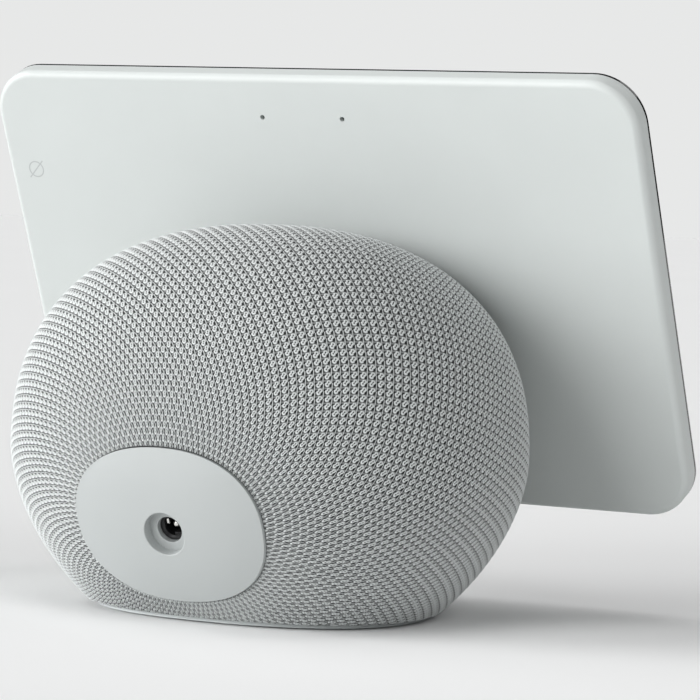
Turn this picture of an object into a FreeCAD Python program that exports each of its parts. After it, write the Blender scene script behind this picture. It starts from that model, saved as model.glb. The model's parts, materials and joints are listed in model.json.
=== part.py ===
import math
import os
import re

import FreeCAD
import Part
import Sketcher

# Smart display: a thin tilted screen head fixed in front of a round, knit-covered speaker base.
#
# The frame: +Z up, the screen faces -Y, +X is on the right of a person who looks at the screen.
# The origin is on the table, on the upright axis of the base.
#
# The head is drawn in its own upright frame and then tilted as a whole:
#   X across, Y the depth behind the front face of the glass, Z up from the glass's bottom edge.
# The power inlet is drawn in a frame of its own too:
#   X across, Y down, Z straight out of the mouth of the recess.

document = FreeCAD.newDocument("smart_display")
sheet = document.addObject("Spreadsheet::Sheet", "Sizes")

DIMENSIONS = [
    # the tilted head
    ("head_width", 211.0, "across the front glass"),
    ("head_height", 134.5, "up the front glass"),
    ("head_thickness", 7.2, "glass face to rear face"),
    ("head_corner", 14.3, "corner radius of the outline"),
    ("head_tilt", 23.7, "lean back from upright, degrees"),
    ("head_forward", 68.7, "base axis to the glass's bottom edge"),
    ("head_rise", 32.3, "table to the glass's bottom edge"),
    ("rear_edge_radius", 2.0, "round of the housing's rear edge"),
    ("housing_wall", 1.6, "rear housing wall"),
    ("glass_thickness", 1.0, "cover glass"),
    ("glass_edge_radius", 0.35, "polished front edge of the glass"),
    ("adhesive_thickness", 0.2, "bond line under the glass"),
    ("adhesive_inset", 0.7, "bond line back from the outline"),
    ("adhesive_width", 1.5, "bond line across"),
    ("lcd_width", 194.0, "display cell across"),
    ("lcd_height", 117.0, "display cell up"),
    ("lcd_thickness", 0.9, "display cell"),
    ("backlight_thickness", 1.6, "backlight unit"),
    ("stack_gap", 0.05, "air between stacked sheets"),
    ("midframe_inset", 2.4, "midframe back from the outline"),
    ("midframe_rim", 1.0, "midframe rim wall"),
    ("midframe_front", 1.35, "depth of the midframe's front edge"),
    ("midframe_floor", 3.65, "depth of the midframe's plate"),
    ("midframe_plate", 0.6, "midframe plate"),
    ("camera_drop", 5.3, "camera axis below the glass's top edge"),
    ("camera_size", 7.0, "camera module across"),
    ("camera_back", 5.4, "depth of the camera module's back"),
    ("lens_radius", 2.6, "camera lens barrel"),
    ("sensor_offset", 24.0, "light sensor to the centre line"),
    ("sensor_size", 3.0, "light sensor across"),
    ("mic_spacing", 26.3, "between the two rear microphone holes"),
    ("mic_drop", 12.75, "microphone holes below the top edge"),
    ("mic_hole_radius", 0.75, "microphone hole in the rear housing"),
    ("mic_board_thickness", 0.4, "microphone board"),
    ("mic_gasket_thickness", 0.25, "foam ring round each hole"),
    ("button_length", 8.8, "side button, up and down"),
    ("button_height", 1.8, "side button, front to back"),
    ("button_depth", 3.0, "side button middle behind the glass face"),
    ("button_stand", 0.4, "side button proud of the housing"),
    ("button_corner", 0.8, "round ends of a side button"),
    ("button_edge_radius", 0.25, "outer edge of a side button"),
    ("button_travel", 0.35, "side button press"),
    ("button_clearance", 0.1, "round each button in its slot"),
    ("button_flange", 0.5, "flange that keeps a button in"),
    ("mute_height", 103.1, "microphone and camera button, up the head"),
    ("volume_up_height", 84.0, "volume up button, up the head"),
    ("volume_down_height", 71.0, "volume down button, up the head"),
    ("switch_thickness", 1.3, "tact switch"),
    ("key_board_thickness", 0.6, "side key board"),
    ("antenna_offset", 76.0, "antenna middle to the centre line"),
    ("antenna_width", 34.0, "antenna across"),
    ("antenna_height", 12.0, "antenna up"),
    # the neck between head and base
    ("neck_gap", 3.5, "air between the housing and the cover's cut edge"),
    ("neck_height", 40.5, "neck middle, up the head"),
    ("collar_half_width", 39.0, "neck collar"),
    ("collar_half_height", 31.0, "neck collar"),
    ("collar_wall", 2.2, "neck collar"),
    ("bracket_width", 56.0, "neck bracket"),
    ("bracket_height", 40.0, "neck bracket"),
    ("cable_slot_width", 26.0, "flex passage"),
    ("cable_slot_height", 12.0, "flex passage"),
    ("neck_screw_across", 46.0, "neck screws, across"),
    ("neck_screw_up", 30.0, "neck screws, up and down"),
    ("screw_radius", 1.5, "M3 shank"),
    ("screw_head_radius", 2.75, "M3 head"),
    ("screw_head_height", 1.8, "M3 head"),
    ("screw_clearance", 0.2, "round a shank"),
    # the base, a rounded form whose level sections are superellipses
    ("base_half_width", 75.1, "widest level section"),
    ("base_half_depth", 59.3, "widest level section"),
    ("base_middle", 45.8, "height of the widest section"),
    ("base_top", 64.5, "from the widest section to the top"),
    ("base_drop", 65.9, "the same below, if it ran on to a point"),
    ("plan_power", 2.34, "superellipse exponent of the level sections"),
    ("upper_power", 2.31, "superellipse exponent above the middle"),
    ("lower_power", 1.77, "superellipse exponent below the middle"),
    ("cover_thickness", 1.3, "knit cover"),
    ("cover_low", 1.6, "bottom hem of the cover above the table"),
    ("cover_gap", 0.3, "between the cover and the shells"),
    ("shell_wall", 2.5, "base shells"),
    ("shell_low", 3.6, "bottom edge of the shells"),
    ("shell_split", 24.0, "depth behind the glass where the shells part"),
    ("slot_width", 3.0, "sound slots"),
    ("slot_pitch", 6.0, "sound slots"),
    ("side_slot_length", 34.0, "sound slots on the sides"),
    ("top_slot_length", 46.0, "sound slots at the top"),
    # base plate and foot
    ("plate_half_width", 48.0, "base plate"),
    ("plate_half_depth", 37.9, "base plate"),
    ("plate_low", 0.4, "underside above the table"),
    ("plate_high", 3.5, "top of the base plate"),
    ("pad_inset", 3.0, "foot pad back from the base plate's edge"),
    ("pad_recess", 1.4, "top of the foot pad above the table"),
    ("post_x", 28.0, "chassis posts, either side"),
    ("post_rear", 26.0, "chassis posts at the rear"),
    ("post_front", 24.0, "chassis posts at the front"),
    ("post_radius", 3.5, "chassis posts"),
    ("post_screw_length", 9.0, "screw in each post"),
    # the rear plate and the power inlet
    ("rear_plate_half_width", 29.6, "rear plate"),
    ("rear_plate_half_height", 21.5, "rear plate"),
    ("rear_plate_middle", 27.9, "rear plate above the table"),
    ("rear_plate_power", 2.25, "superellipse exponent of its outline"),
    ("rear_plate_thickness", 1.45, "rear plate"),
    ("rear_plate_proud", 0.6, "rear plate's face outside the cover's"),
    ("rear_plate_gap", 0.35, "between the rear plate and the cover"),
    ("inlet_back", 55.6, "mouth of the recess behind the base axis"),
    ("inlet_rise", 25.5, "mouth of the recess above the table"),
    ("inlet_dip", 21.7, "axis below level, degrees"),
    ("recess_radius", 6.25, "plug recess"),
    ("recess_depth", 3.1, "plug recess"),
    ("recess_edge_radius", 0.25, "round of the recess's mouth"),
    ("boss_radius", 8.2, "boss round the recess"),
    ("lip_radius", 3.8, "hole in the floor of the recess"),
    ("lip_depth", 1.6, "floor of the recess"),
    ("lip_edge_radius", 0.2, "round of the hole's edge in the floor"),
    ("jack_width", 9.2, "jack housing"),
    ("jack_up", 5.4, "jack housing above its axis"),
    ("jack_down", 5.6, "jack housing below its axis"),
    ("jack_length", 15.6, "jack housing"),
    ("jack_bore_radius", 2.7, "jack bore"),
    ("jack_bore_depth", 10.3, "jack bore"),
    ("jack_mouth_flare", 0.5, "lead-in at the jack bore's mouth"),
    ("jack_pin_radius", 0.95, "centre pin"),
    ("jack_pin_tip", 6.4, "tip of the pin below the mouth"),
    ("jack_pin_round", 0.6, "rounded end of the pin"),
    ("leaf_width", 1.9, "spring contact, up and down"),
    ("leaf_thickness", 1.0, "spring contact across, with its fold"),
    ("leaf_left", 1.45, "spring contact's inner face off the jack's axis"),
    ("leaf_rise", 2.25, "spring contact's upper edge above the jack's axis"),
    ("leaf_length", 8.4, "spring contact"),
    ("leaf_depth", 0.9, "spring contact's front end below the jack's face"),
    ("ledge_width", 2.2, "ledge in the bottom of the jack bore"),
    ("ledge_height", 1.9, "ledge's top below the jack's axis"),
    ("ledge_depth", 1.0, "ledge's front end below the jack's face"),
    ("power_board_width", 32.0, "power board"),
    ("power_board_length", 23.0, "power board"),
    # boards in the base
    ("board_width", 84.0, "main board"),
    ("board_depth", 37.0, "main board"),
    ("board_front", 17.5, "main board's front edge before the axis"),
    ("board_low", 12.0, "underside of the main board"),
    ("board_thickness", 1.2, "circuit boards"),
    ("board_hole_inset", 4.5, "board holes in from the edges"),
    ("board_screw_radius", 1.0, "M2 shank"),
    ("shield_width", 34.0, "shield can"),
    ("shield_depth", 24.0, "shield can"),
    ("shield_height", 2.4, "shield can"),
    ("shield_wall", 0.3, "shield can"),
    ("sink_width", 44.0, "heat sink"),
    ("sink_depth", 26.0, "heat sink"),
    ("sink_floor", 2.0, "heat sink"),
    ("fin_height", 6.0, "heat sink fins"),
    ("fin_thickness", 1.2, "heat sink fins"),
    ("fin_pitch", 4.75, "heat sink fins"),
    # the speakers
    ("woofer_y", 7.0, "woofer axis behind the base axis"),
    ("woofer_seat", 83.0, "chassis deck's top face"),
    ("deck_thickness", 3.0, "chassis deck"),
    ("woofer_flange_radius", 36.0, "woofer basket"),
    ("woofer_flange_height", 2.0, "woofer basket"),
    ("woofer_mouth_radius", 31.5, "woofer basket"),
    ("woofer_cone_radius", 26.9, "woofer cone"),
    ("woofer_coil_radius", 12.8, "woofer voice coil"),
    ("driver_y", 4.0, "side drivers before the base axis"),
    ("driver_rise", 48.0, "side driver axes above the table"),
    ("driver_face", 60.0, "side driver seats from the centre line"),
    ("driver_flange_radius", 23.0, "side driver basket"),
    ("driver_mouth_radius", 19.5, "side driver basket"),
    ("driver_cone_radius", 15.6, "side driver cone"),
    ("driver_coil_radius", 7.0, "side driver voice coil"),
    ("cheek_thickness", 2.5, "chassis side plates"),
]

for row, (alias, number, note) in enumerate(DIMENSIONS, start=1):
    sheet.set("A%d" % row, alias)
    sheet.set("B%d" % row, str(number))
    sheet.set("C%d" % row, note)
    sheet.setAlias("B%d" % row, alias)
document.recompute()

ALIAS = re.compile(r"[a-z]+(?:_[a-z]+)+")
PARTS = []


# ---------------------------------------------------------------- helpers

def formula(text):
    """Point every alias in an expression at the sheet."""
    return ALIAS.sub(lambda found: "Sizes." + found.group(0), str(text))


def value(text):
    """The number that an expression in aliases stands for now."""
    result = sheet.evalExpression(ALIAS.sub(lambda found: "." + found.group(0), str(text)))
    return float(getattr(result, "Value", result))


def bind(item, **properties):
    """Bind properties to expressions; a double underscore stands for a dot."""
    for name, text in properties.items():
        item.setExpression(name.replace("__", "."), formula(text))
    return item


def move(item, x="0", y="0", z="0"):
    return bind(item, Placement__Base__x=x, Placement__Base__y=y, Placement__Base__z=z)


def new(kind, name):
    return document.addObject(kind, name)


def box(name, size, corner):
    """A block from its three sizes and its lowest corner."""
    item = bind(new("Part::Box", name), Length=size[0], Width=size[1], Height=size[2])
    return move(item, *corner)


def rod(name, radius, length, start, towards="Z"):
    """A cylinder from the middle of its first end, along +X, +Y or +Z."""
    item = bind(new("Part::Cylinder", name), Radius=radius, Height=length)
    turns = {
        "X": FreeCAD.Rotation(FreeCAD.Vector(0, 1, 0), 90),
        "Y": FreeCAD.Rotation(FreeCAD.Vector(-1, 0, 0), 90),
        "Z": FreeCAD.Rotation(),
    }
    item.Placement = FreeCAD.Placement(FreeCAD.Vector(), turns[towards])
    return move(item, *start)


def cut(name, base, tool):
    item = new("Part::Cut", name)
    item.Base = base
    item.Tool = tool
    return item


def common(name, first, second):
    item = new("Part::Common", name)
    item.Base = first
    item.Tool = second
    return item


def fuse(name, pieces):
    item = new("Part::MultiFuse", name)
    item.Shapes = pieces
    return item


def soften(name, base, radius, wanted):
    """Round the edges that the test picks."""
    document.recompute()
    reach = value(radius)
    item = new("Part::Fillet", name)
    item.Base = base
    item.Edges = [(index + 1, reach, reach) for index, edge in enumerate(base.Shape.Edges) if wanted(edge)]
    return item


def group(name, pieces):
    item = new("Part::Compound", name)
    item.Links = pieces
    return item


def tilt_like_head(item):
    """Turn and place a shape that was drawn in the head's upright frame."""
    item.Placement = FreeCAD.Placement(FreeCAD.Vector(), FreeCAD.Rotation(FreeCAD.Vector(-1, 0, 0), 1))
    bind(item, Placement__Rotation__Angle="head_tilt")
    return move(item, "0", "-head_forward", "head_rise")


def turn_like_inlet(item):
    """Turn and place a shape that was drawn in the inlet's frame."""
    item.Placement = FreeCAD.Placement(FreeCAD.Vector(), FreeCAD.Rotation(FreeCAD.Vector(-1, 0, 0), 1))
    bind(item, Placement__Rotation__Angle="90 + inlet_dip")
    return move(item, "0", "inlet_back", "inlet_rise")


def finish_part(label, item, frame="base"):
    """Name a sub-part and put it where its own frame belongs."""
    if frame == "head":
        tilt_like_head(item)
    if frame == "inlet":
        turn_like_inlet(item)
    item.Label = label
    PARTS.append(item)
    return item


# -- sketches and features of a PartDesign body

def plane_sketch(body, role, offset="0"):
    """A sketch on one of the body's own origin planes, moved along that plane's normal."""
    plane = next(item for item in body.Origin.OriginFeatures if item.Role == role)
    sketch = body.newObject("Sketcher::SketchObject", body.Name + "_sketch")
    sketch.AttachmentSupport = [(plane, "")]
    sketch.MapMode = "FlatFace"
    bind(sketch, AttachmentOffset__Base__z=offset)
    return sketch


def fix(sketch, kind, *arguments):
    """Add a measured constraint whose last argument is an expression."""
    text = arguments[-1]
    index = sketch.addConstraint(Sketcher.Constraint(kind, *arguments[:-1], value(text)))
    sketch.setExpression("Constraints[%d]" % index, formula(text))


def polygon(sketch, corners):
    """A closed outline whose corners are pairs of expressions."""
    points = [FreeCAD.Vector(value(x), value(y), 0) for x, y in corners]
    first = sketch.GeometryCount
    count = len(points)
    for index in range(count):
        sketch.addGeometry(Part.LineSegment(points[index], points[(index + 1) % count]))
    for index in range(count):
        following = first + (index + 1) % count
        sketch.addConstraint(Sketcher.Constraint("Coincident", first + index, 2, following, 1))
    for index, (x, y) in enumerate(corners):
        fix(sketch, "DistanceX", -1, 1, first + index, 1, x)
        fix(sketch, "DistanceY", -1, 1, first + index, 1, y)


def rectangle(sketch, left, low, width, height):
    right = "%s + %s" % (left, width)
    high = "%s + %s" % (low, height)
    polygon(sketch, [(left, low), (right, low), (right, high), (left, high)])


def circle(sketch, radius, x, y):
    centre = FreeCAD.Vector(value(x), value(y), 0)
    index = sketch.addGeometry(Part.Circle(centre, FreeCAD.Vector(0, 0, 1), value(radius)))
    fix(sketch, "Radius", index, radius)
    fix(sketch, "DistanceX", -1, 1, index, 3, x)
    fix(sketch, "DistanceY", -1, 1, index, 3, y)


def pad(body, sketch, length, reverse=False):
    item = body.newObject("PartDesign::Pad", body.Name + "_pad")
    item.Profile = sketch
    item.Reversed = reverse
    bind(item, Length=length)
    document.recompute()
    return item


def pocket(body, sketch, length, reverse=False):
    """Cut a sketch out of the body, and make sure that something was cut."""
    before = body.Shape.Volume
    item = body.newObject("PartDesign::Pocket", body.Name + "_pocket")
    item.Profile = sketch
    item.Reversed = reverse
    bind(item, Length=length)
    document.recompute()
    if not body.Shape.Volume < before - 1e-6:
        raise RuntimeError("%s: a pocket cuts nothing" % body.Name)
    return item


def revolve(body, sketch, axis="V_Axis"):
    item = body.newObject("PartDesign::Revolution", body.Name + "_revolution")
    item.Profile = sketch
    item.ReferenceAxis = (sketch, [axis])
    item.Angle = 360
    document.recompute()
    return item


def round_edges(body, radius, wanted):
    """Fillet the body's edges that the test picks."""
    tip = body.Tip
    names = ["Edge%d" % (index + 1) for index, edge in enumerate(tip.Shape.Edges) if wanted(edge)]
    item = body.newObject("PartDesign::Fillet", body.Name + "_fillet")
    item.Base = (tip, names)
    bind(item, Radius=radius)
    document.recompute()
    return item


def runs_along_y(edge):
    ends = [vertex.Point for vertex in edge.Vertexes]
    return len(ends) == 2 and abs(ends[0].x - ends[1].x) < 1e-6 and abs(ends[0].z - ends[1].z) < 1e-6


def runs_along_x(edge):
    ends = [vertex.Point for vertex in edge.Vertexes]
    return len(ends) == 2 and abs(ends[0].y - ends[1].y) < 1e-6 and abs(ends[0].z - ends[1].z) < 1e-6


def lies_across(text):
    """Pick edges in the plane X = text."""
    across = value(text)
    return lambda edge: all(abs(vertex.Point.x - across) < 1e-6 for vertex in edge.Vertexes)


def lies_at_depth(text):
    depth = value(text)
    return lambda edge: all(abs(vertex.Point.y - depth) < 1e-6 for vertex in edge.Vertexes)


def sheet_body(name, inset, front, thickness, corner):
    """A rounded rectangular sheet of the head, back from the outline by an inset."""
    body = new("PartDesign::Body", name)
    sketch = plane_sketch(body, "XZ_Plane", "-(%s)" % front)
    width = "head_width - 2 * (%s)" % inset
    height = "head_height - 2 * (%s)" % inset
    rectangle(sketch, "-(%s) / 2" % width, inset, width, height)
    pad(body, sketch, thickness, reverse=True)
    round_edges(body, corner, runs_along_y)
    return body


def turned(name, corners):
    """A ring or disc turned about Z from a half section of (radius, height) pairs."""
    body = new("PartDesign::Body", name)
    sketch = plane_sketch(body, "XZ_Plane")
    polygon(sketch, corners)
    revolve(body, sketch)
    return body


# ---------------------------------------------------------------- the head

def build_glass():
    body = sheet_body("cover_glass", "0", "0", "glass_thickness", "head_corner")
    round_edges(body, "glass_edge_radius", lies_at_depth("0"))
    finish_part("cover_glass", body, "head")


def build_adhesive():
    outer = sheet_body("adhesive_outer", "adhesive_inset", "glass_thickness", "adhesive_thickness",
                       "head_corner - adhesive_inset")
    inner = sheet_body("adhesive_inner", "adhesive_inset + adhesive_width", "glass_thickness",
                       "adhesive_thickness", "head_corner - adhesive_inset - adhesive_width")
    finish_part("glass_adhesive", cut("glass_adhesive", outer, inner), "head")


def build_display():
    low = "(head_height - lcd_height) / 2"
    cell = box("lcd_cell_block", ("lcd_width", "lcd_thickness", "lcd_height"),
               ("-lcd_width / 2", "glass_thickness", low))
    finish_part("lcd_cell", group("lcd_cell", [cell]), "head")
    light = box("backlight_block", ("lcd_width", "backlight_thickness", "lcd_height"),
                ("-lcd_width / 2", "glass_thickness + lcd_thickness + stack_gap", low))
    finish_part("backlight_unit", group("backlight_unit", [light]), "head")


KEY_NOTCH_LEFT = "head_width / 2 - 6.4"
KEY_NOTCH_LOW = "volume_down_height - 9"
KEY_NOTCH_HEIGHT = "mute_height - volume_down_height + 18"


def build_midframe():
    body = sheet_body("head_midframe", "midframe_inset", "midframe_front",
                      "midframe_floor + midframe_plate - midframe_front", "head_corner - midframe_inset")
    tray = plane_sketch(body, "XZ_Plane", "-midframe_front")
    inset = "(midframe_inset + midframe_rim)"
    rectangle(tray, "-head_width / 2 + %s" % inset, inset,
              "head_width - 2 * %s" % inset, "head_height - 2 * %s" % inset)
    pocket(body, tray, "midframe_floor - midframe_front")
    windows = plane_sketch(body, "XZ_Plane", "-midframe_front")
    rectangle(windows, "-camera_size / 2 - 0.5", "head_height - camera_drop - camera_size / 2 - 0.2",
              "camera_size + 1", "camera_size + 2")
    rectangle(windows, KEY_NOTCH_LEFT, KEY_NOTCH_LOW, "12", KEY_NOTCH_HEIGHT)
    rectangle(windows, "-bracket_width / 2 - 1", "neck_height - bracket_height / 2 - 1",
              "bracket_width + 2", "bracket_height + 2")
    pocket(body, windows, "head_thickness")
    finish_part("head_midframe", body, "head")


def build_rear_housing():
    front = "(glass_thickness + adhesive_thickness)"
    body = sheet_body("housing_block", "0", front, "head_thickness - %s" % front, "head_corner")
    round_edges(body, "rear_edge_radius", lies_at_depth("head_thickness"))
    cavity = sheet_body("housing_cavity", "housing_wall", front,
                        "head_thickness - housing_wall - %s" % front, "head_corner - housing_wall")
    round_edges(cavity, "rear_edge_radius - housing_wall", lies_at_depth("head_thickness - housing_wall"))
    tools = [cavity]
    for side in (-1, 1):
        tools.append(rod("mic_hole", "mic_hole_radius", "2 * housing_wall",
                         ("%d * mic_spacing / 2" % side, "head_thickness - 1.5 * housing_wall",
                          "head_height - mic_drop"), "Y"))
    for height in ("mute_height", "volume_up_height", "volume_down_height"):
        slot = box("button_slot",
                   ("2 * housing_wall", "button_height + 2 * button_clearance",
                    "button_length + 2 * button_clearance"),
                   ("head_width / 2 - 1.5 * housing_wall",
                    "button_depth - button_height / 2 - button_clearance",
                    "%s - button_length / 2 - button_clearance" % height))
        tools.append(soften("button_slot_round", slot, "button_corner + button_clearance", runs_along_x))
    tools.append(box("cable_opening", ("cable_slot_width", "2 * housing_wall", "cable_slot_height"),
                     ("-cable_slot_width / 2", "head_thickness - 1.5 * housing_wall",
                      "neck_height - cable_slot_height / 2")))
    tools += neck_holes("screw_radius + screw_clearance", "head_thickness - 1.5 * housing_wall",
                        "2 * housing_wall")
    finish_part("rear_housing", cut("rear_housing", body, fuse("housing_openings", tools)), "head")


def neck_holes(radius, front, length):
    """Four rods on the neck's screw pattern, in the head's frame."""
    rods = []
    for across in (-1, 1):
        for up in (-1, 1):
            rods.append(rod("neck_rod", radius, length,
                            ("%d * neck_screw_across / 2" % across, front,
                             "neck_height + %d * neck_screw_up / 2" % up), "Y"))
    return rods


def build_camera():
    up = "head_height - camera_drop"
    block = box("camera_block",
                ("camera_size", "camera_back - midframe_front - 1.2", "camera_size - 0.6"),
                ("-camera_size / 2", "midframe_front + 1.2", up + " - (camera_size - 0.6) / 2"))
    finish_part("camera_module", group("camera_module", [block]), "head")
    barrel = rod("lens_barrel", "lens_radius", "1.4", ("0", "midframe_front - 0.2", up), "Y")
    finish_part("camera_lens", group("camera_lens", [barrel]), "head")
    sensor = box("sensor_block", ("sensor_size", "1.1", "2"),
                 ("sensor_offset - sensor_size / 2", "glass_thickness + stack_gap", up + " - 2.2"))
    finish_part("light_sensor", group("light_sensor", [sensor]), "head")


def build_microphones():
    up = "head_height - mic_drop"
    inner_face = "head_thickness - housing_wall"
    board_back = "(%s - mic_gasket_thickness)" % inner_face
    board = box("mic_strip", ("mic_spacing + 10", "mic_board_thickness", "6"),
                ("-(mic_spacing + 10) / 2", board_back + " - mic_board_thickness", up + " - 3"))
    ports, capsules, gaskets = [], [], []
    for side in (-1, 1):
        x = "%d * mic_spacing / 2" % side
        ports.append(rod("mic_port", "mic_hole_radius / 2", "2", (x, board_back + " - 1", up), "Y"))
        capsules.append(box("mic_capsule", ("3.5", "0.6", "2.6"),
                            (x + " - 1.75", board_back + " - mic_board_thickness - 0.6", up + " - 1.3")))
        ring = rod("gasket_disc", "2.2", "mic_gasket_thickness", (x, board_back, up), "Y")
        hole = rod("gasket_hole", "mic_hole_radius", "2", (x, board_back + " - 1", up), "Y")
        gaskets.append(cut("gasket_ring", ring, hole))
    finish_part("mic_board", cut("mic_board", board, group("mic_ports", ports)), "head")
    finish_part("rear_microphones", group("rear_microphones", capsules), "head")
    finish_part("mic_gaskets", group("mic_gaskets", gaskets), "head")


def build_buttons():
    outside = "(head_width / 2 + button_stand)"
    inner_face = "(head_width / 2 - housing_wall)"
    flange_back = "(%s - 0.1 - button_flange)" % inner_face
    switch_face = "(%s - 0.7 - button_travel - 0.05)" % flange_back
    switches = []
    names = {"mute_button": "mute_height",
             "volume_up_button": "volume_up_height",
             "volume_down_button": "volume_down_height"}
    for label, height in names.items():
        cap = box("button_cap", (outside + " - %s" % flange_back, "button_height", "button_length"),
                  (flange_back, "button_depth - button_height / 2", height + " - button_length / 2"))
        cap = soften("button_cap_round", cap, "button_corner", runs_along_x)
        cap = soften("button_cap_soft", cap, "button_edge_radius", lies_across(outside))
        flange = box("button_wings", ("button_flange", "button_height + 0.6", "button_length + 1.6"),
                     (flange_back, "button_depth - button_height / 2 - 0.3",
                      height + " - button_length / 2 - 0.8"))
        nub = rod("button_nub", "0.6", "0.8", (flange_back + " - 0.7", "button_depth", height), "X")
        finish_part(label, fuse(label, [cap, flange, nub]), "head")
        switches.append(box("switch", ("switch_thickness", "2.4", "3.6"),
                            (switch_face + " - switch_thickness", "button_depth - 1.2", height + " - 1.8")))
    finish_part("key_switches", group("key_switches", switches), "head")
    board = box("key_strip", ("key_board_thickness", "2.8", KEY_NOTCH_HEIGHT + " - 2"),
                (switch_face + " - switch_thickness - key_board_thickness", "button_depth - 1.4",
                 KEY_NOTCH_LOW + " + 1"))
    finish_part("side_key_board", group("side_key_board", [board]), "head")


def build_antennas():
    strips = []
    for side in (-1, 1):
        strips.append(box("antenna_strip", ("antenna_width", "0.25", "antenna_height"),
                          ("%d * antenna_offset - antenna_width / 2" % side,
                           "head_thickness - housing_wall - 0.3", "head_height - mic_drop - 6")))
    finish_part("wifi_antennas", group("wifi_antennas", strips), "head")


def build_head_screws():
    """Low-head screws that hold the midframe to the housing, near the corners and at mid height."""
    screws = []
    back = "midframe_floor + midframe_plate"
    for side in (-1, 1):
        for up in ("14", "head_height * 0.42", "head_height - 14"):
            head = rod("screw_disc", "1.9", "0.5", ("%d * 95" % side, back, up), "Y")
            shank = rod("screw_shank", "0.7", "0.8", ("%d * 95" % side, back + " + 0.5", up), "Y")
            screws.append(fuse("head_screw", [head, shank]))
    finish_part("head_screws", group("head_screws", screws), "head")


# ---------------------------------------------------------------- the neck

def oval_face(half_width, half_height, power, count=32):
    """A superellipse face in the XY plane, about the origin."""
    points = []
    for index in range(count):
        angle = 2 * math.pi * index / count
        across, along = math.cos(angle), math.sin(angle)
        reach = (abs(across) ** power + abs(along) ** power) ** (-1 / power)
        points.append(FreeCAD.Vector(half_width * reach * across, half_height * reach * along, 0))
    curve = Part.BSplineCurve()
    curve.interpolate(points, PeriodicFlag=True)
    return Part.Face(Part.Wire([curve.toShape()]))


def oval_rod(name, half_width, half_height, power, length, start, towards="Z"):
    """A prism over a superellipse, from the middle of its first end, along +Y or +Z."""
    face = new("Part::Feature", name + "_face")
    face.Shape = oval_face(value(half_width), value(half_height), power)
    solid = new("Part::Extrusion", name)
    solid.Base = face
    solid.DirMode = "Custom"
    solid.Dir = FreeCAD.Vector(0, 0, 1)
    solid.Solid = True
    bind(solid, LengthFwd=length)
    if towards == "Y":
        solid.Placement = FreeCAD.Placement(FreeCAD.Vector(), FreeCAD.Rotation(FreeCAD.Vector(-1, 0, 0), 90))
    return move(solid, *start)


COVER_FRONT = "(head_thickness + neck_gap)"
SHELL_FRONT = "(head_thickness + neck_gap + 0.2)"
SHELL_INSIDE = "(head_thickness + neck_gap + 0.2 + shell_wall)"


def build_neck():
    start = ("0", "head_thickness + 0.05", "neck_height")
    length = SHELL_FRONT + " - head_thickness - 0.1"
    outer = oval_rod("collar_outer", "collar_half_width", "collar_half_height", 2.3, length, start, "Y")
    inner = oval_rod("collar_inner", "collar_half_width - collar_wall", "collar_half_height - collar_wall",
                     2.3, length, start, "Y")
    finish_part("neck_collar", cut("neck_collar", outer, inner), "head")

    block = box("bracket_block", ("bracket_width", length, "bracket_height"),
                ("-bracket_width / 2", "head_thickness + 0.05", "neck_height - bracket_height / 2"))
    slot = box("bracket_slot", ("cable_slot_width", "20", "cable_slot_height"),
               ("-cable_slot_width / 2", "0", "neck_height - cable_slot_height / 2"))
    holes = fuse("bracket_holes", [slot] + neck_holes("screw_radius + screw_clearance", "0", "20"))
    finish_part("neck_bracket", cut("neck_bracket", block, holes), "head")

    plate = box("inner_plate", ("bracket_width", "1.1", "bracket_height"),
                ("-bracket_width / 2", "head_thickness - housing_wall - 1.15",
                 "neck_height - bracket_height / 2"))
    slot = box("plate_slot", ("cable_slot_width", "20", "cable_slot_height + 14"),
               ("-cable_slot_width / 2", "0", "neck_height - cable_slot_height / 2 - 14"))
    holes = fuse("plate_holes", [slot] + neck_holes("screw_radius + 0.02", "0", "20"))
    finish_part("neck_plate", cut("neck_plate", plate, holes), "head")

    head_start = "(%s + 0.05)" % SHELL_INSIDE
    heads = neck_holes("screw_head_radius", head_start, "screw_head_height")
    shanks = neck_holes("screw_radius", "head_thickness - housing_wall - 1.15",
                        head_start + " - head_thickness + housing_wall + 1.15 + 0.5")
    screws = [fuse("neck_screw", list(pair)) for pair in zip(heads, shanks)]
    finish_part("neck_screws", group("neck_screws", screws), "head")


def build_display_flex():
    """A creased ribbon from the display, through the neck and down to the main board."""
    half_width = 9.0
    thickness = 0.4
    path = [(4.9, 10.0), (4.9, value("neck_height")), (19.0, value("neck_height")), (51.5, 4.6)]
    points = [FreeCAD.Vector(-half_width, depth, up) for depth, up in path]
    outline = Part.makePolygon(points).makeOffset2D(thickness / 2, 2, False, False)
    ribbon = Part.Face(outline).extrude(FreeCAD.Vector(2 * half_width, 0, 0))
    item = new("Part::Feature", "display_flex")
    item.Shape = ribbon
    finish_part("display_flex", item, "head")


# ---------------------------------------------------------------- the base

def section_reach(height, inset):
    """How large the level section at a height is, as a share of the widest one."""
    middle = value("base_middle")
    if height >= middle:
        reach, power = value("base_top") - inset, value("upper_power")
    else:
        reach, power = value("base_drop") - inset, value("lower_power")
    share = 1 - (abs(height - middle) / reach) ** power
    return max(share, 0.0) ** (1 / power)


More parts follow.
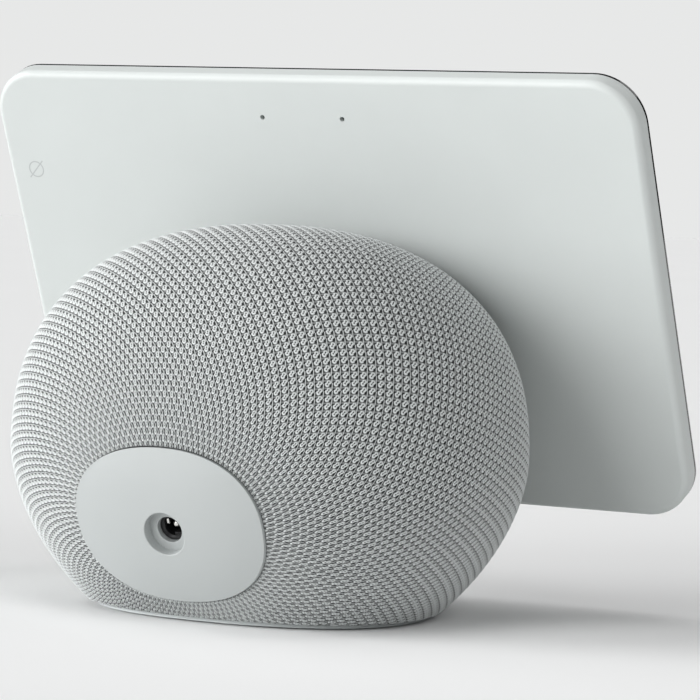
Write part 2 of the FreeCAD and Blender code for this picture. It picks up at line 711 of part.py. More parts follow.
def base_form(name, inset_text, low_text):
    """The closed rounded form of the base, taken in by an inset and cut level at its foot."""
    upper_rings = 9
    lower_rings = 7
    inset = value(inset_text)
    low = value(low_text)
    middle = value("base_middle")
    top = value("base_top") - inset
    heights = [low + (middle - low) * step / lower_rings for step in range(lower_rings)]
    for step in range(upper_rings):
        angle = math.radians(84) * step / (upper_rings - 1)
        heights.append(middle + top * math.sin(angle) ** (2 / value("upper_power")))
    rings = []
    for height in heights:
        reach = section_reach(height, inset)
        ring = new("Part::Feature", name + "_ring")
        ring.Shape = oval_face((value("base_half_width") - inset) * reach,
                               (value("base_half_depth") - inset) * reach,
                               value("plan_power")).OuterWire
        ring.Placement = FreeCAD.Placement(FreeCAD.Vector(0, 0, height), FreeCAD.Rotation())
        rings.append(ring)
    crown = new("Part::Vertex", name + "_crown")
    bind(crown, Z="base_middle + base_top - (%s)" % inset_text)
    loft = new("Part::Loft", name)
    loft.Sections = rings + [crown]
    loft.Solid = True
    document.recompute()
    return loft


def in_front_of(name, depth):
    """The space before a plane at a depth behind the glass: a tilted block."""
    block = box(name + "_block", ("300", "200", "400"), ("-150", "%s - 200" % depth, "-150"))
    return tilt_like_head(group(name, [block]))


def behind(name, depth):
    """The space behind a plane at a depth behind the glass."""
    block = box(name + "_block", ("300", "300", "400"), ("-150", depth, "-150"))
    return tilt_like_head(group(name, [block]))


def rear_plate_prism(name, gap):
    """The rear plate's outline grown by a gap and run from inside the base out past its back."""
    return oval_rod(name, "rear_plate_half_width + %s" % gap, "rear_plate_half_height + %s" % gap,
                    value("rear_plate_power"), "60", ("0", "30", "rear_plate_middle"), "Y")


def inlet_rod(name, radius, deep, length):
    """A cylinder on the inlet's axis in the base's frame, from a depth outwards."""
    inner = rod(name + "_rod", radius, length, ("0", "0", "-(%s)" % deep))
    return turn_like_inlet(group(name, [inner]))


def build_cover():
    outer = base_form("cover_outer", "0", "cover_low")
    inner = base_form("cover_inner", "cover_thickness", "0.6")
    skin = cut("cover_skin", outer, inner)
    tools = fuse("cover_openings", [in_front_of("cover_front", COVER_FRONT),
                                    rear_plate_prism("cover_window", "rear_plate_gap")])
    finish_part("fabric_cover", cut("fabric_cover", skin, tools))


def sound_slots():
    """Slots through both sides beside the drivers, and through the top over the woofer."""
    slots = []
    for index in range(-4, 5):
        slots.append(box("side_slot", ("200", "slot_width", "side_slot_length"),
                         ("-100", "-driver_y - slot_width / 2 + %d * slot_pitch" % index,
                          "driver_rise - side_slot_length / 2")))
        slots.append(box("top_slot", ("slot_width", "top_slot_length", "60"),
                         ("-slot_width / 2 + %d * slot_pitch" % index, "woofer_y - top_slot_length / 2",
                          "woofer_seat + 6")))
    return slots


def build_shells():
    outer = base_form("shell_outer", "cover_thickness + cover_gap", "shell_low")
    inner = base_form("shell_inner", "cover_thickness + cover_gap + shell_wall", "1")
    outer = cut("shell_outer_cut", outer, in_front_of("shell_face", SHELL_FRONT))
    inner = cut("shell_inner_cut", inner, in_front_of("shell_back_face", SHELL_INSIDE))
    shell = cut("base_shell", outer, inner)

    slot = box("shell_slot", ("cable_slot_width", "40", "cable_slot_height"),
               ("-cable_slot_width / 2", "0", "neck_height - cable_slot_height / 2"))
    holes = neck_holes("screw_radius + screw_clearance", "0", "40")
    openings = tilt_like_head(fuse("neck_openings", [slot] + holes))

    front = common("front_half", shell, in_front_of("front_side", "shell_split"))
    finish_part("front_shell", cut("front_shell", front, openings))
    rear = common("rear_half", shell, behind("rear_side", "shell_split"))
    jack_hole = inlet_rod("jack_hole", "boss_radius + 0.4", "14", "30")
    finish_part("rear_shell", cut("rear_shell", rear, fuse("rear_openings", sound_slots() + [jack_hole])))


def build_rear_plate():
    outer = base_form("plate_outer", "-rear_plate_proud", "cover_low")
    inner = base_form("plate_inner", "rear_plate_thickness - rear_plate_proud", "0.6")
    leaf = common("plate_leaf", cut("plate_layer", outer, inner), rear_plate_prism("plate_prism", "0"))
    boss = inlet_rod("inlet_boss", "boss_radius", "recess_depth + lip_depth",
                     "recess_depth + lip_depth - 0.6")
    recess = inlet_rod("plug_recess", "recess_radius", "recess_depth", "20")
    lip = inlet_rod("recess_lip", "lip_radius", "20", "40")
    body = cut("plate_bored", fuse("plate_and_boss", [leaf, boss]), fuse("inlet_bores", [recess, lip]))
    body = soften("plate_mouth_round", body, "recess_edge_radius",
                  circles_of("recess_radius", outermost=True))
    finish_part("rear_plate", soften("rear_plate", body, "lip_edge_radius", circles_of("lip_radius")))


def circles_of(radius_text, outermost=False):
    """Pick the edges round the inlet's axis at a radius: those of the mouth, or all but the innermost."""
    radius = value(radius_text)
    dip = math.radians(value("inlet_dip"))
    axis = FreeCAD.Vector(0, math.cos(dip), -math.sin(dip))
    mouth = FreeCAD.Vector(0, value("inlet_back"), value("inlet_rise"))
    least = -0.5 if outermost else -value("recess_depth") - 0.1

    def wanted(edge):
        points = edge.discretize(9)
        along = [(point - mouth).dot(axis) for point in points]
        away = [((point - mouth) - axis * reach).Length for point, reach in zip(points, along)]
        return all(abs(reach - radius) < 0.05 for reach in away) and min(along) > least

    return wanted


def build_base_plate():
    plate = oval_rod("base_plate_disc", "plate_half_width", "plate_half_depth", value("plan_power"),
                     "plate_high - plate_low", ("0", "0", "plate_low"))
    recess = oval_rod("pad_recess_disc", "plate_half_width - pad_inset + 0.2",
                      "plate_half_depth - pad_inset + 0.2", value("plan_power"),
                      "pad_recess + 1.05", ("0", "0", "-1"))
    bores = []
    sinks = []
    for x, y in post_places():
        bores.append(rod("post_bore", "screw_radius + screw_clearance", "10", (x, y, "-1")))
        sinks.append(rod("screw_sink", "screw_head_radius + 0.3", "pad_recess + screw_head_height + 0.55",
                         (x, y, "-1")))
    standoffs = []
    for x, y in board_holes():
        standoffs.append(rod("standoff", "2.6", "board_low - plate_high + 0.5", (x, y, "plate_high - 0.5")))
        bores.append(rod("standoff_bore", "board_screw_radius + 0.02", "12", (x, y, "plate_high + 1")))
    solid = fuse("base_plate_solid", [plate] + standoffs)
    finish_part("base_plate", cut("base_plate", solid, fuse("base_plate_holes", [recess] + bores + sinks)))

    pad_disc = oval_rod("foot_pad_disc", "plate_half_width - pad_inset", "plate_half_depth - pad_inset",
                        value("plan_power"), "pad_recess", ("0", "0", "0"))
    finish_part("foot_pad", group("foot_pad", [pad_disc]))


def post_places():
    return [("%d * post_x" % side, y) for side in (-1, 1) for y in ("post_rear", "-post_front")]


def board_holes():
    places = []
    for side in (-1, 1):
        x = "%d * (board_width / 2 - board_hole_inset)" % side
        places.append((x, "-board_front + board_hole_inset"))
        places.append((x, "-board_front + board_depth - board_hole_inset"))
    return places


def build_chassis():
    """The deck that carries the woofer, cheeks that carry the side drivers, and four posts."""
    deck = box("deck", ("160", "140", "deck_thickness"), ("-80", "-70", "woofer_seat - deck_thickness"))
    pieces = [deck]
    for side in (-1, 1):
        pieces.append(box("cheek", ("cheek_thickness", "56", "woofer_seat - 20"),
                          ("%d * (driver_face - cheek_thickness / 2) - cheek_thickness / 2" % side,
                           "-driver_y - 28", "20")))
    for x, y in post_places():
        pieces.append(rod("post", "post_radius", "woofer_seat - plate_high - 1", (x, y, "plate_high")))
    room = base_form("chassis_room", "cover_thickness + cover_gap + shell_wall + 0.6", "1")
    frame = common("chassis_frame", fuse("chassis_solid", pieces), room)
    tools = [in_front_of("chassis_face", SHELL_INSIDE + " + 0.6"),
             rod("woofer_hole", "woofer_mouth_radius + 0.6", "20", ("0", "woofer_y", "woofer_seat - 10"))]
    for side in (-1, 1):
        tools.append(rod("driver_hole", "driver_mouth_radius + 0.6", "20",
                         ("%d * driver_face - 10" % side, "-driver_y", "driver_rise"), "X"))
    for x, y in post_places():
        tools.append(rod("post_hole", "screw_radius + 0.02", "post_screw_length + 4", (x, y, "0")))
    for x, y in woofer_screw_places():
        tools.append(rod("woofer_screw_hole", "board_screw_radius + 0.02", "20", (x, y, "woofer_seat - 10")))
    for side, y, z in driver_screw_places():
        tools.append(rod("driver_screw_hole", "board_screw_radius + 0.02", "20",
                         ("%d * driver_face - 10" % side, y, z), "X"))
    finish_part("speaker_chassis", cut("speaker_chassis", frame, fuse("chassis_holes", tools)))


def build_base_screws():
    screws = []
    for x, y in post_places():
        head = rod("base_screw_head", "screw_head_radius", "screw_head_height - 0.6",
                   (x, y, "pad_recess + 0.1"))
        shank = rod("base_screw_shank", "screw_radius", "post_screw_length", (x, y, "pad_recess + 0.1"))
        screws.append(fuse("base_screw", [head, shank]))
    finish_part("base_screws", group("base_screws", screws))


# ---------------------------------------------------------------- the power inlet

JACK_FACE = "-(recess_depth + lip_depth + 0.05)"


def build_jack():
    block = box("jack_block", ("jack_width", "jack_up + jack_down", "jack_length"),
                ("-jack_width / 2", "-jack_up", JACK_FACE + " - jack_length"))
    round_bore = rod("jack_round_bore", "jack_bore_radius", "jack_bore_depth + 1",
                     ("0", "0", JACK_FACE + " - jack_bore_depth"))
    ledge = box("jack_ledge", ("ledge_width", "2 * ledge_height", "jack_bore_depth"),
                ("-ledge_width + 0.2", "ledge_height", JACK_FACE + " - jack_bore_depth - ledge_depth"))
    bore = cut("jack_bore", round_bore, ledge)
    mouth = bind(new("Part::Cone", "jack_mouth"), Radius1="jack_bore_radius",
                 Radius2="jack_bore_radius + jack_mouth_flare", Height="jack_mouth_flare")
    move(mouth, "0", "0", JACK_FACE + " - jack_mouth_flare + 0.05")
    pin_hole = rod("jack_pin_hole", "jack_pin_radius", "jack_length + 2",
                   ("0", "0", JACK_FACE + " - jack_length - 1"))
    groove = box("contact_groove", ("leaf_thickness + 0.2", "leaf_width + 0.2", "leaf_length + leaf_depth"),
                 ("leaf_left - 0.1", "-leaf_rise - 0.1", JACK_FACE + " - leaf_length - leaf_depth"))
    tools = fuse("jack_openings", [bore, mouth, pin_hole, groove])
    finish_part("dc_jack_housing", cut("dc_jack_housing", block, tools), "inlet")

    pin_back = JACK_FACE + " - jack_length"
    pin = turned("dc_jack_pin", [("0", pin_back),
                                 ("jack_pin_radius", pin_back),
                                 ("jack_pin_radius", "-jack_pin_tip - jack_pin_round"),
                                 ("jack_pin_radius - 0.2", "-jack_pin_tip - jack_pin_round / 4"),
                                 ("jack_pin_radius - 0.5", "-jack_pin_tip"),
                                 ("0", "-jack_pin_tip")])
    finish_part("dc_jack_pin", pin, "inlet")

    leaf = box("leaf_strip", ("leaf_thickness", "leaf_width", "leaf_length"),
               ("leaf_left", "-leaf_rise", JACK_FACE + " - leaf_length - leaf_depth"))
    leaf_front = value(JACK_FACE + " - leaf_depth")
    leaf = soften("dc_jack_contact", leaf, "leaf_thickness * 0.4",
                  lambda edge: all(abs(vertex.Point.z - leaf_front) < 1e-6 for vertex in edge.Vertexes))
    finish_part("dc_jack_contact", leaf, "inlet")

    board = box("power_strip", ("power_board_width", "board_thickness", "power_board_length"),
                ("-power_board_width / 2", "jack_down + 0.05", JACK_FACE + " - power_board_length - 2"))
    finish_part("power_board", group("power_board", [board]), "inlet")
    capacitors = []
    for side in (-1, 1):
        can = rod("capacitor", "3", "6", ("%d * 10.5" % side, "jack_down", JACK_FACE + " - 15"))
        can.Placement.Rotation = FreeCAD.Rotation(FreeCAD.Vector(1, 0, 0), 90)
        capacitors.append(can)
    finish_part("power_capacitors", group("power_capacitors", capacitors), "inlet")


# ---------------------------------------------------------------- boards in the base

def build_boards():
    body = new("PartDesign::Body", "main_board")
    outline = plane_sketch(body, "XY_Plane", "board_low")
    rectangle(outline, "-board_width / 2", "-board_front", "board_width", "board_depth")
    pad(body, outline, "board_thickness")
    holes = plane_sketch(body, "XY_Plane", "board_low + board_thickness")
    for x, y in board_holes():
        circle(holes, "board_screw_radius + 0.2", x, y)
    pocket(body, holes, "board_thickness")
    finish_part("main_board", body)

    screws = []
    for x, y in board_holes():
        head = rod("board_screw_head", "1.9", "1.3", (x, y, "board_low + board_thickness"))
        shank = rod("board_screw_shank", "board_screw_radius", "5", (x, y, "board_low + board_thickness - 5"))
        screws.append(fuse("board_screw", [head, shank]))
    finish_part("board_screws", group("board_screws", screws))

    deck = "board_low + board_thickness"
    chips = [box("processor", ("13", "13", "1.2"), ("-9", "-5", deck)),
             box("memory", ("10", "8", "1"), ("6", "-6", deck)),
             box("radio", ("7", "7", "1"), ("6", "4", deck))]
    finish_part("processor_chips", group("processor_chips", chips))

    can_left, can_front = "(-shield_width / 2)", "(-10)"
    outer = box("can_outer", ("shield_width", "shield_depth", "shield_height"), (can_left, can_front, deck))
    inner = box("can_inner", ("shield_width - 2 * shield_wall", "shield_depth - 2 * shield_wall",
                              "shield_height - shield_wall"),
                (can_left + " + shield_wall", can_front + " + shield_wall", deck))
    finish_part("shield_can", cut("shield_can", outer, inner))

    sink_low = "(%s + shield_height)" % deck
    sink = [box("sink_floor_block", ("sink_width", "sink_depth", "sink_floor"),
                ("-sink_width / 2", "-11", sink_low))]
    for index in range(9):
        sink.append(box("fin", ("fin_thickness", "sink_depth", "fin_height + 0.5"),
                        ("-sink_width / 2 + 2.4 + %d * fin_pitch" % index, "-11",
                         sink_low + " + sink_floor - 0.5")))
    finish_part("heat_sink", fuse("heat_sink", sink))


# ---------------------------------------------------------------- the speakers

WOOFER_SCREW_REACH = "(woofer_flange_radius - 2) * cos(45 deg)"
DRIVER_SCREW_REACH = "(driver_flange_radius - 1.7) * cos(45 deg)"


def woofer_screw_places():
    return [("%d * %s" % (side, WOOFER_SCREW_REACH), "woofer_y + %d * %s" % (fore, WOOFER_SCREW_REACH))
            for side in (-1, 1) for fore in (-1, 1)]


def driver_screw_places():
    return [(side, "-driver_y + %d * %s" % (fore, DRIVER_SCREW_REACH),
             "driver_rise + %d * %s" % (up, DRIVER_SCREW_REACH))
            for side in (-1, 1) for fore in (-1, 1) for up in (-1, 1)]


def flange_holes(reach):
    """Four screw holes round a speaker's own axis."""
    return [rod("flange_hole", "board_screw_radius + 0.2", "10",
                ("%d * %s" % (across, reach), "%d * %s" % (up, reach), "-3"))
            for across in (-1, 1) for up in (-1, 1)]


def build_woofer():
    def stand(label, item):
        move(item, "0", "woofer_y", "woofer_seat")
        item.Label = label
        PARTS.append(item)

    coil = "woofer_coil_radius"
    basket = turned("woofer_basket_turned", [
        ("woofer_mouth_radius + 0.4", "0.05"), ("woofer_flange_radius", "0.05"),
        ("woofer_flange_radius", "woofer_flange_height"), ("woofer_mouth_radius - 1", "woofer_flange_height"),
        ("22.8", "-16"), ("%s + 1.2" % coil, "-16"), ("%s + 1.2" % coil, "-17.5"), ("24.5", "-17.5")])
    windows = []
    for turn in range(6):
        window = box("basket_window", ("30", "12", "9"), ("18", "-6", "-14.5"))
        spun = group("basket_window_turned", [window])
        spin = FreeCAD.Rotation(FreeCAD.Vector(0, 0, 1), 60 * turn)
        spun.Placement = FreeCAD.Placement(FreeCAD.Vector(), spin)
        windows.append(spun)
    holes = flange_holes(WOOFER_SCREW_REACH)
    stand("woofer_basket", cut("woofer_basket", basket, fuse("basket_openings", windows + holes)))

    stand("woofer_top_plate", turned("woofer_top_plate", [
        ("%s + 0.5" % coil, "-20.5"), ("24", "-20.5"), ("24", "-17.55"), ("%s + 0.5" % coil, "-17.55")]))
    stand("woofer_magnet", turned("woofer_magnet", [
        ("%s + 2.4" % coil, "-29.5"), ("26", "-29.5"), ("26", "-20.55"), ("%s + 2.4" % coil, "-20.55")]))
    stand("woofer_yoke", turned("woofer_yoke", [
        ("0", "-33"), ("24", "-33"), ("24", "-29.55"), ("%s - 1" % coil, "-29.55"),
        ("%s - 1" % coil, "-17.6"), ("0", "-17.6")]))
    stand("woofer_voice_coil", turned("woofer_voice_coil", [
        ("%s - 0.5" % coil, "-26"), (coil, "-26"), (coil, "-10"), ("%s - 0.5" % coil, "-10")]))
    stand("woofer_cone", turned("woofer_cone", [
        ("0", "-4.6"), ("8", "-5.6"), (coil, "-9.3"), ("woofer_cone_radius", "3"),
        ("woofer_cone_radius + 0.7", "3"), ("woofer_cone_radius + 0.7", "2.4"),
        ("%s + 0.3" % coil, "-9.9"), ("%s - 0.6" % coil, "-9.9"), ("7.6", "-6.2"), ("0", "-5.2")]))
    edge = "(woofer_cone_radius + 0.75)"
    stand("woofer_surround", turned("woofer_surround", [
        (edge, "2.4"), (edge + " + 0.5", "4"), (edge + " + 1.4", "4.9"), (edge + " + 2.4", "4"),
        (edge + " + 2.9", "2.1"), (edge + " + 4.3", "2.1"), (edge + " + 4.3", "2.6"),
        (edge + " + 3.3", "2.6"), (edge + " + 2.8", "4.4"), (edge + " + 1.4", "5.5"),
        (edge + " + 0.1", "4.4"), (edge, "3.5")]))
    stand("woofer_spider", turned("woofer_spider", [
        (coil + " + 0.1", "-13.4"), ("15.5", "-12.6"), ("18", "-14"), ("20.5", "-12.6"), ("22.4", "-13.8"),
        ("22.4", "-14.4"), ("20.5", "-13.2"), ("18", "-14.6"), ("15.5", "-13.2"), (coil + " + 0.1", "-14")]))


def build_side_drivers():
    """Two mirrored drivers that look out along -X and +X."""
    coil = "driver_coil_radius"
    edge = "(driver_cone_radius + 0.05)"
    sections = {
        "basket": [
            ("driver_mouth_radius + 0.3", "0.05"), ("driver_flange_radius", "0.05"),
            ("driver_flange_radius", "1.6"), ("driver_mouth_radius - 0.8", "1.6"),
            ("13", "-12"), ("%s + 1" % coil, "-12"), ("%s + 1" % coil, "-13.2"), ("14.4", "-13.2")],
        "magnet": [
            ("0", "-23"), ("14.5", "-23"), ("14.5", "-13.25"), ("%s + 0.5" % coil, "-13.25"),
            ("%s + 0.5" % coil, "-20"), ("%s - 1" % coil, "-20"), ("%s - 1" % coil, "-13.25"),
            ("0", "-13.25")],
        "cone": [
            ("0", "-1.2"), ("4.4", "-2.2"), (coil, "-5"), ("driver_cone_radius", "2.2"),
            ("driver_cone_radius", "1.6"), ("%s + 0.1" % coil, "-5.6"), (coil, "-6"), (coil, "-17.6"),
            ("%s - 0.5" % coil, "-17.6"), ("%s - 0.5" % coil, "-5"), ("4.2", "-2.7"), ("0", "-1.7")],
        "surround": [
            (edge, "1.6"), (edge + " + 0.5", "2.7"), (edge + " + 1.4", "3.2"), (edge + " + 2.3", "2.7"),
            (edge + " + 2.7", "1.65"), (edge + " + 3.7", "1.65"), (edge + " + 3.7", "2.1"),
            (edge + " + 3", "2.1"), (edge + " + 2.6", "3.1"), (edge + " + 1.4", "3.7"),
            (edge + " + 0.2", "3.1"), (edge, "2.4")],
    }
    for side, name in ((1, "right"), (-1, "left")):
        for piece, corners in sections.items():
            item = turned("%s_driver_%s_turned" % (name, piece), corners)
            if piece == "basket":
                holes = fuse("driver_basket_holes", flange_holes(DRIVER_SCREW_REACH))
                item = cut("%s_driver_basket" % name, item, holes)
            item.Placement = FreeCAD.Placement(
                FreeCAD.Vector(), FreeCAD.Rotation(FreeCAD.Vector(0, side, 0), 90))
            move(item, "%d * driver_face" % side, "-driver_y", "driver_rise")
            item.Label = "%s_driver_%s" % (name, piece)
            PARTS.append(item)


def build_speaker_screws():
    screws = []
    for x, y in woofer_screw_places():
        head = rod("woofer_screw_head", "1.9", "1.3", (x, y, "woofer_seat + woofer_flange_height"))
        shank = rod("woofer_screw_shank", "board_screw_radius", "5",
                    (x, y, "woofer_seat + woofer_flange_height - 5"))
        screws.append(fuse("woofer_screw", [head, shank]))
    for side, y, z in driver_screw_places():
        seat = "%d * (driver_face + 1.6)" % side
        outward = 0 if side > 0 else -1
        head = rod("driver_screw_head", "1.9", "1.3", (seat + " + %d * 1.3" % outward, y, z), "X")
        shank = rod("driver_screw_shank", "board_screw_radius", "5",
                    (seat + " - %d * 5" % (1 + outward), y, z), "X")
        screws.append(fuse("driver_screw", [head, shank]))
    finish_part("speaker_screws", group("speaker_screws", screws))


build_glass()
build_adhesive()
build_display()
build_midframe()
build_rear_housing()
build_camera()
build_microphones()
build_buttons()
build_antennas()
build_head_screws()
build_neck()
build_display_flex()
build_cover()
build_shells()
build_rear_plate()
build_base_plate()
build_chassis()
build_base_screws()
build_jack()
build_boards()
build_woofer()
build_side_drivers()
build_speaker_screws()

document.recompute()

# ---------------------------------------------------------------- checks and files

for item in document.Objects:
    if "Invalid" in item.State or "Error" in item.State:
        raise RuntimeError("%s (%s) did not build: %s" % (item.Label, item.Name, item.State))
for item in PARTS:
    if item.Shape.isNull() or not item.Shape.isValid() or not item.Shape.Solids:
        raise RuntimeError("%s has no valid shape" % item.Label)

os.makedirs("parts", exist_ok=True)
for item in PARTS:
    item.Shape.exportStep("parts/%s.step" % item.Label)
    print("%-22s %d solids %10.1f mm3" % (item.Label, len(item.Shape.Solids), item.Shape.Volume))
print("%d nodes" % len(PARTS))
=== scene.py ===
import json
import math

import bmesh
import bpy
import numpy as np
from mathutils import Matrix, Vector


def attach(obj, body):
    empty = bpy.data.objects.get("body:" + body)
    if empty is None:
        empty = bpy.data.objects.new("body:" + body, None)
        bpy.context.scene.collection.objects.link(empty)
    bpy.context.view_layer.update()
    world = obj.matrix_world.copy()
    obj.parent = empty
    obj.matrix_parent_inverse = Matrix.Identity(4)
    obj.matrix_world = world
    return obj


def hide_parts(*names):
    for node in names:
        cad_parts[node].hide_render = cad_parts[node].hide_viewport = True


# Looks of the smart display: a knit cover, a printed mark, the finish of every part, the stage.
# Sizes are in millimetres where they are named, and in metres once they are in a mesh.

MM = 0.001

# The camera: where it stands, how it is turned, and its lens.
CAMERA_PLACE = (-501.9, 876.3, 122.7)
CAMERA_YAW = 0.498
CAMERA_PITCH = 0.047
CAMERA_ROLL = 0.034
CAMERA_LENS = 182.2
CAMERA_SENSOR = 36.0
CAMERA_NEAREST = 10.0
CAMERA_FARTHEST = 50000.0

# Soft lights: direction round from +X and up from level, in degrees, and brightness.
LIGHT_SPREAD = 36
SOFT_LIGHTS = (
    ("key_side", 28.6, 15, 2.86),
    ("key_rear", 68.6, 15, 1.50),
    ("far_side", 150, 30, 0.90),
    ("fill", 178.6, 15, 0.06),
    ("high_front", 228.6, 50, 0.40),
    ("high_side", -11.4, 50, 0.45),
    ("overhead", 118.6, 85, 0.52),
)

# The stage: the surround that the camera sees, the little light that it gives, and the floor.
SURROUND = (0.80, 0.807, 0.804)
SURROUND_LIGHT = 0.01
FLOOR_RADIUS = 9000.0
FLOOR_SIDES = 96
FLOOR_PATCHES = 400
FLOOR_DARKER = (0.915, 0.92, 0.92)
FLOOR_LIGHTER = (0.935, 0.94, 0.94)

# The base, as the CAD source has it.
BASE_HALF_WIDTH = 75.1
BASE_HALF_DEPTH = 59.3
BASE_MIDDLE = 45.8
BASE_TOP = 64.5
BASE_DROP = 65.9
PLAN_POWER = 2.34
UPPER_POWER = 2.31
LOWER_POWER = 1.77

# The rear plate's opening in the cover.
OPENING_HALF_WIDTH = 29.95
OPENING_HALF_HEIGHT = 21.85
OPENING_MIDDLE = 27.9
OPENING_POWER = 2.25

# The tilted head's frame: its lowest glass edge, its lean, and the cover's two straight cuts.
HEAD_FORWARD = 68.7
HEAD_RISE = 32.3
HEAD_TILT = math.radians(23.7)
HEAD_THICKNESS = 7.2
NECK_CUT = 10.7
HEM_HEIGHT = 1.6

# The knit: wales run from the rear plate round the base to the neck, courses ring them.
WALES = 242
WALE_AXIS_HEIGHT = 48.1
WALE_AXIS_SLOPE = 0.432
WALE_STRETCH = 1.097
COURSE_SPACING = 1.5
COURSE_POINT = (0.0, 83.3, 21.6)
COURSE_WIDENING = 1.4

# One stitch, in wales across and courses along: a pinched, leaning loop, whose two ends cross
# below the next. The upper end leans one way and the lower one passes beside it the other way.
LOOP_HALF_WIDTH = 0.28
LOOP_STRAIGHT = 0.21
LOOP_PINCH = 0.09
LOOP_YARN = 0.18
LOOP_LEAN = 0.19
LOOP_DIVE = 0.33
LOOP_DIVE_START = 0.15
LOOP_DIVE_RATE = 2.0
UPPER_ANGLE = math.radians(39.5)
UPPER_CROSSING = -0.10
UPPER_YARN = 0.088
UPPER_HEIGHT = 0.98
LOWER_ANGLE = math.radians(43.5)
LOWER_CROSSING = 0.21
LOWER_YARN = 0.20
LOWER_HEIGHT = 0.30

# The knit's yarn: how far its lines wander, in stitches, and the patterns on it.
WANDER_SIZE = 1.3
WANDER_ACROSS = 0.10
WANDER_ALONG = 0.12
FIBRE_SIZE = 0.12
MELANGE_SIZE = 0.8
# Knit colours by depth: near black deep in the holes, light grey on the loops' tops. The darkening with
# depth is painted shade, partly the dark inside seen through the holes.
HOLE_COLOUR = (0.012, 0.014, 0.014)
YARN_COLOUR = (0.79, 0.824, 0.821)
YARN_BUMP = 0.22

# The cover as a sheet: its depth below the base's form, and its edges.
KNIT_TOP = 0.05
KNIT_RELIEF = 0.42
KNIT_LIP = 1.2
KNIT_TUCK = 0.10
TUCK_WIDTH = 0.7

# The cover's mesh: steps in one stitch, samples along each wale, and what is laid past the cuts.
FINE_STEPS = (8, 6)
QUICK_STEPS = (3, 2)
FIRST_SWING = 0.05
LAST_SWING = 2.75
SWING_SAMPLES = 320
SURFACE_HALVINGS = 30
ROWS_PAST_NECK = 2.0
FACES_PAST_CUT = 1.5
SAME_STITCH = 1e-6
SAME_PLACE = 1e-7

# The cover's map: strips of wales, in two columns and two rows, each a little smaller than its place.
STRIPS = 4
STRIP_SIDE = 0.49
STRIP_GAP = 0.005

# The printed mark beside the microphone button.
MARK_ACROSS = 95.85
MARK_UP = 103.07
MARK_RADIUS = 2.45
MARK_LINE = 0.36
MARK_SLASH = 3.9
MARK_THICKNESS = 0.02
MARK_SIDES = 72


# ---------------------------------------------------------------- formulas for meshes and nodes


class Field:
    """A number that a material's nodes work out, so that a pattern reads as a formula."""

    def __init__(self, tree, socket):
        self.tree = tree
        self.socket = socket

    def maths(self, operation, *others, clamped=False):
        node = self.tree.nodes.new("ShaderNodeMath")
        node.operation = operation
        node.use_clamp = clamped
        self.tree.links.new(self.socket, node.inputs[0])
        for place, other in enumerate(others, 1):
            if isinstance(other, Field):
                self.tree.links.new(other.socket, node.inputs[place])
            else:
                node.inputs[place].default_value = other
        return Field(self.tree, node.outputs[0])

    def __add__(self, other):
        return self.maths("ADD", other)

    def __sub__(self, other):
        return self.maths("SUBTRACT", other)

    def __mul__(self, other):
        return self.maths("MULTIPLY", other)

    def __truediv__(self, other):
        return self.maths("DIVIDE", other)

    def __neg__(self):
        return self.maths("MULTIPLY", -1.0)

    def __rsub__(self, other):
        return (-self).maths("ADD", other)

    def __abs__(self):
        return self.maths("ABSOLUTE")


def nearest(value):
    return value.maths("ROUND") if isinstance(value, Field) else np.round(value)


def root(value):
    return value.maths("SQRT") if isinstance(value, Field) else np.sqrt(value)


def larger(value, other):
    return value.maths("MAXIMUM", other) if isinstance(value, Field) else np.maximum(value, other)


def held(value):
    """The value, kept between 0 and 1."""
    return value.maths("ADD", 0.0, clamped=True) if isinstance(value, Field) else np.clip(value, 0, 1)


def round_section(share):
    """Height of a round yarn at that share of its radius from its middle line."""
    return root(held(1.0 - share * share))


def folded(u, v):
    """Place across and along from the nearest point of the staggered lattice."""
    rising = (u + v) * 0.5
    falling = (u - v) * 0.5
    rising = rising - nearest(rising)
    falling = falling - nearest(falling)
    return rising + falling, rising - falling


def knit_height(u, v):
    """Height of the knit, 0 in its holes and 1 on its loops, at wale u and course v."""
    across, along = folded(u, v)
    across = across + along * LOOP_LEAN
    beyond = larger(abs(along) - LOOP_STRAIGHT, 0.0)
    pinch = held(1.0 - along * along / LOOP_STRAIGHT ** 2) * LOOP_PINCH
    from_line = root(across * across + beyond * beyond) - LOOP_HALF_WIDTH + pinch
    loop = round_section(from_line / LOOP_YARN)
    loop = loop * (1.0 - held((along - LOOP_DIVE_START) * LOOP_DIVE_RATE) * LOOP_DIVE)
    across, along = folded(u + 1.0, v)
    from_upper = across * math.cos(UPPER_ANGLE) + (along - UPPER_CROSSING) * math.sin(UPPER_ANGLE)
    from_lower = (across - LOWER_CROSSING) * math.cos(LOWER_ANGLE) - along * math.sin(LOWER_ANGLE)
    upper = round_section(from_upper / UPPER_YARN) * UPPER_HEIGHT
    lower = round_section(from_lower / LOWER_YARN) * LOWER_HEIGHT
    return larger(loop, larger(upper, lower))


# ---------------------------------------------------------------- materials


